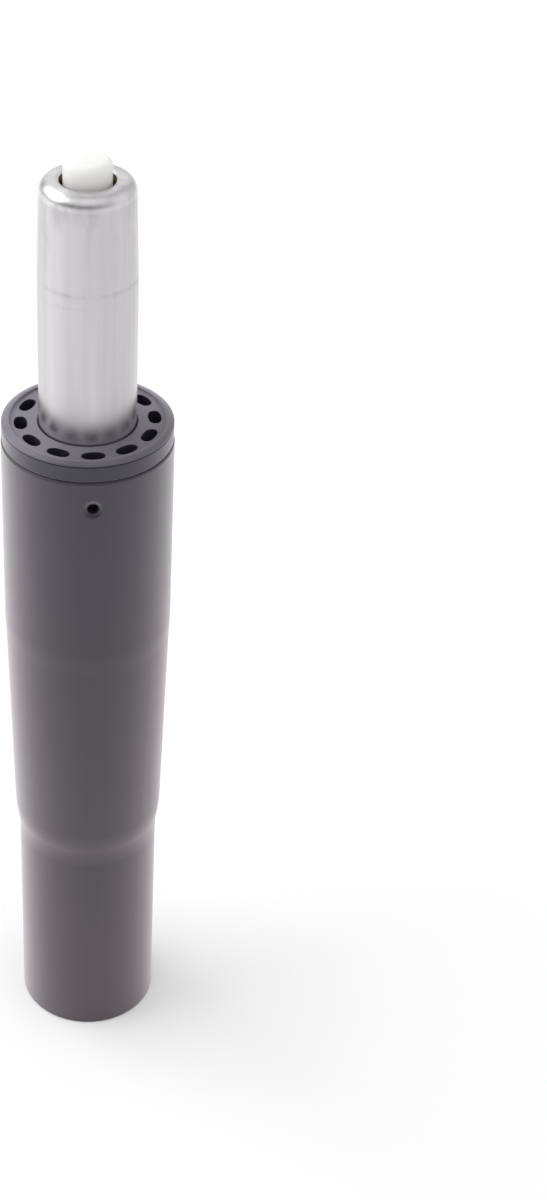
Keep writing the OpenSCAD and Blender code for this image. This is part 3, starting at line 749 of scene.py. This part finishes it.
# ground steel: soft bands run down it, with two broken darker rings at the seat taper's start, smudges above
# them, and a painted highlight over the lip
def tubeMaterial(s):
    top = nodeTop("pressure_tube")
    taperStart = top - s["taper"]
    material, tree, shader = newMaterial("groundBrightSteel")
    broad = grain(tree, across=130.0, along=5.0, offset=(0.3, 0.9, 0.2))
    smudge = grain(tree, across=110.0, along=60.0, detail=6.0, roughness=0.65)
    turned = grain(tree, across=30.0, along=4000.0, detail=3.0)
    height = heightAlong(tree)
    bandLow = (taperStart - s["ringReach"]) * mm
    bandHigh = (taperStart + s["ringReach"]) * mm
    band = remap(tree, height, bandLow, bandHigh, 0.0, 1.0)
    rings = colourRamp(tree, band, [(place, (tone, tone, tone)) for place, tone in s["ringStops"]])
    unbroken = remap(tree, smudge, *s["ringBreaks"], s["ringLeast"], 1.0)
    ringed = multiplied(tree, unbroken, toned(tree, broad, *s["steelTones"]), rings)
    # painted highlight over the lip
    paintedLipHighlight = remap(tree, height, (top - s["highlightFrom"]) * mm, (top - s["highlightTo"]) * mm, 1.0, s["paintedLipHighlight"])
    highlighted = multiplied(tree, 1.0, ringed, paintedLipHighlight)
    stainLow = (taperStart + s["stainMargin"]) * mm
    stainHigh = (top - s["stainMargin"]) * mm
    upper = remap(tree, height, stainLow, stainHigh, 0.0, 1.0)
    stain = calc(tree, "MULTIPLY", upper, remap(tree, smudge, *s["stainSpan"], 0.0, 1.0))
    fill(tree, shader, {
        "Base Color": multiplied(tree, stain, highlighted, s["stainTone"]),
        "Metallic": 1.0,
        "Roughness": spread(tree, broad, *s["rough"]),
        "Anisotropic": s["grinding"],
        "Anisotropic Rotation": s["grindingTurn"],
        "Normal": bumped(tree, turned, *s["bump"]),
    })
    return material


tube = makeTube(tubeSet)
useMaterial(tube, tubeMaterial(tubeSet))
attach(tube, "lift")
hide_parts("pressure_tube")
print("ground tube:", len(tube.data.polygons), "faces")

# release button: white cap with a softly rounded crown, and a socket for its pin
buttonSet = {
    "columns": 160, "edge": 2.0, "footEdge": 0.4, "crown": 0.25, "crownBend": 12.0,
    "crownMid": 0.5, "crownMidFall": 0.25,                             # shares of the radius and the crown
    "socket": 3.05, "socketDeep": 8.0, "socketEdge": 0.2, "socketMouth": 0.3,
    "tones": ((0.88, 0.88, 0.865), (0.91, 0.91, 0.90)), "rough": (0.38, 0.46), "specular": 0.25,
    "glow": 0.8, "glowRadius": (1.0, 0.9, 0.8), "glowDeep": 4.0,       # light passes into the plastic
}


def makeButton(s):
    top = nodeTop("release_button")
    bottom = nodeBottom("release_button")
    radius = nodeRadius("release_button")
    socketTop = bottom + s["socketDeep"]
    corners = [
        (0.0, socketTop, 0),
        (s["socket"], socketTop, s["socketEdge"]),
        (s["socket"], bottom, s["socketMouth"]),
        (radius, bottom, s["footEdge"]),
        (radius, top - s["crown"], s["edge"]),
        (radius * s["crownMid"], top - s["crown"] * s["crownMidFall"], s["crownBend"]),
        (0.0, top, 0),
    ]
    bm = bmesh.new()
    turnedMesh(bm, filleted(corners, closed=False), s["columns"], closed=False)
    return finishMesh(bm, "whiteButton")


def buttonMaterial(s):
    material, tree, shader = newMaterial("whiteButtonPlastic")
    cloud = grain(tree, across=220.0, along=220.0)
    fill(tree, shader, {
        "Base Color": toned(tree, cloud, *s["tones"]),
        "Roughness": spread(tree, cloud, *s["rough"]),
        "Specular IOR Level": s["specular"],
        "Subsurface Weight": s["glow"],
        "Subsurface Radius": s["glowRadius"],
        "Subsurface Scale": s["glowDeep"] * mm,
    })
    return material


button = makeButton(buttonSet)
useMaterial(button, buttonMaterial(buttonSet))
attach(button, "release")
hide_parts("release_button")
print("release button:", len(button.data.polygons), "faces")

# hidden pieces keep their solids, and each finish gets a material of its own
finishKinds = {
    "metal": {"metallic": 1.0, "detail": 4.0, "bump": (0.02, 0.3)},
    "soft": {"metallic": 0.0, "detail": 5.0, "bump": (0.03, 0.4)},
}
# slot: material, kind, darker and paler tone, roughness, grain across and along the axis
hiddenSet = {
    "plain_steel": (
        "zincSteel", "metal", (0.36, 0.36, 0.37), (0.48, 0.48, 0.49), (0.32, 0.48), (300.0, 300.0),
    ),
    "hard_chrome": (
        "chromedRod", "metal", (0.60, 0.61, 0.63), (0.66, 0.67, 0.69), (0.10, 0.18), (700.0, 60.0),
    ),
    "bearing_steel": (
        "bearingSteel", "metal", (0.46, 0.46, 0.48), (0.55, 0.55, 0.57), (0.14, 0.24), (500.0, 500.0),
    ),
    "cage_brass": (
        "pressedBrass", "metal", (0.47, 0.33, 0.11), (0.57, 0.41, 0.15), (0.28, 0.42), (400.0, 400.0),
    ),
    "spring_steel": (
        "blackSpringSteel", "metal", (0.07, 0.07, 0.08), (0.11, 0.11, 0.12), (0.35, 0.5), (500.0, 500.0),
    ),
    "alloy": (
        "turnedAlloy", "metal", (0.50, 0.51, 0.53), (0.60, 0.61, 0.63), (0.25, 0.4), (80.0, 1800.0),
    ),
    "valve_brass": (
        "turnedBrass", "metal", (0.53, 0.41, 0.16), (0.63, 0.49, 0.22), (0.22, 0.36), (80.0, 1800.0),
    ),
    "rubber": (
        "blackRubber", "soft", (0.016, 0.016, 0.018), (0.026, 0.026, 0.028), (0.6, 0.75), (900.0, 900.0),
    ),
    "glide_plastic": (
        "creamPlastic", "soft", (0.66, 0.62, 0.52), (0.73, 0.69, 0.59), (0.4, 0.5), (500.0, 500.0),
    ),
}


def hiddenMaterial(name, kind, low, high, rough, scale):
    k = finishKinds[kind]
    material, tree, shader = newMaterial(name)
    value = grain(tree, *scale, detail=k["detail"])
    fill(tree, shader, {
        "Base Color": toned(tree, value, low, high),
        "Metallic": k["metallic"],
        "Roughness": spread(tree, value, *rough),
        "Normal": bumped(tree, value, *k["bump"]),
    })
    return material


hiddenFinishes = {slot: hiddenMaterial(*row) for slot, row in hiddenSet.items()}
slotOf = {row["node"]: row["material_slot"] for row in frame["record"]["subparts"]}
for name, piece in frame["nodes"].items():
    if slotOf[name] in hiddenFinishes:
        useMaterial(piece, hiddenFinishes[slotOf[name]])
print("hidden finishes:", len(hiddenFinishes))

# studio, in metres: a white floor, one large soft light from the left, and a sky with three glows;
# the room is dim low down on the left and the front, and the horizon is as pale as the far floor
studioSet = {
    "floorSize": 80.0, "floorColour": (0.92, 0.92, 0.92, 1.0), "floorLift": 0.10,
    "sky": 0.485, "glowSpan": (0.7, 1.0),
    "backGlow": ((-0.10, 0.83, 0.55), 0.57),           # direction and strength
    "frontGlow": ((0.0, -0.50, 0.866), 0.70),
    "rightGlow": ((0.93, 0.10, 0.35), 0.58),
    "dim": 0.15, "openSide": (0.87, 0.5, 0.0), "dimSpan": (-0.25, 0.15), "lowSpan": (0.25, 0.55),
    "haze": 0.80, "hazeSpan": (0.04, 0.08),
    "lampPlace": (-2.7, 0.6, 2.3), "lampAim": (0.0, 0.0, 0.12), "lampSize": (4.2, 3.0), "lampPower": 84.0,
}


def makeFloor(s):
    half = s["floorSize"] / 2
    mesh = bpy.data.meshes.new("floor")
    corners = [(-half, -half, 0), (half, -half, 0), (half, half, 0), (-half, half, 0)]
    mesh.from_pydata(corners, [], [(0, 1, 2, 3)])
    floor = linked("floor", mesh)
    material = bpy.data.materials.new("paleFloor")
    material.use_nodes = True
    tree = material.node_tree
    tree.nodes.clear()
    paint = put(tree, "ShaderNodeBsdfDiffuse", {0: s["floorColour"]})
    path = put(tree, "ShaderNodeLightPath")
    seen = calc(tree, "MAXIMUM", path.outputs["Is Camera Ray"], path.outputs["Is Glossy Ray"])
    seen = calc(tree, "MAXIMUM", seen, path.outputs["Is Transmission Ray"])
    glow = put(tree, "ShaderNodeEmission", {1: calc(tree, "MULTIPLY", seen, s["floorLift"])})
    both = put(tree, "ShaderNodeAddShader", {0: paint.outputs[0], 1: glow.outputs[0]})
    put(tree, "ShaderNodeOutputMaterial", {0: both.outputs[0]})
    useMaterial(floor, material)


def makeWorld(s):
    world = bpy.data.worlds.new("studio")
    bpy.context.scene.world = world
    world.use_nodes = True
    tree = world.node_tree
    tree.nodes.clear()
    coords = put(tree, "ShaderNodeTexCoord").outputs["Generated"]
    height = put(tree, "ShaderNodeSeparateXYZ", {0: coords}).outputs[2]
    openness = alongSide(tree, coords, s["openSide"])
    away = remap(tree, openness, *s["dimSpan"], 1.0, 0.0)              # 1 where the room is dim
    low = remap(tree, height, *s["lowSpan"], 1.0, 0.0)                 # 1 near the horizon
    dimness = calc(tree, "MULTIPLY", away, low)
    sky = s["sky"]
    for side, strength in (s["backGlow"], s["frontGlow"], s["rightGlow"]):
        glow = remap(tree, alongSide(tree, coords, side), *s["glowSpan"], 0.0, strength)
        sky = calc(tree, "ADD", sky, glow)
    level = calc(tree, "MULTIPLY", sky, remap(tree, dimness, 0.0, 1.0, 1.0, s["dim"]))
    level = remap(tree, height, *s["hazeSpan"], s["haze"], level)
    back = put(tree, "ShaderNodeBackground", {0: (1.0, 1.0, 1.0, 1.0), 1: level})
    put(tree, "ShaderNodeOutputWorld", {0: back.outputs[0]})


def makeLamp(s):
    light = bpy.data.lights.new("leftBox", "AREA")
    light.shape = "RECTANGLE"
    light.size, light.size_y = s["lampSize"]
    light.energy = s["lampPower"]
    lamp = linked("leftBox", light)
    lamp.location = s["lampPlace"]
    aim = Vector(s["lampAim"]) - Vector(s["lampPlace"])
    lamp.rotation_euler = aim.to_track_quat("-Z", "Y").to_euler()


makeFloor(studioSet)
makeWorld(studioSet)
makeLamp(studioSet)
bpy.context.scene.view_settings.view_transform = "Standard"
print("studio set")
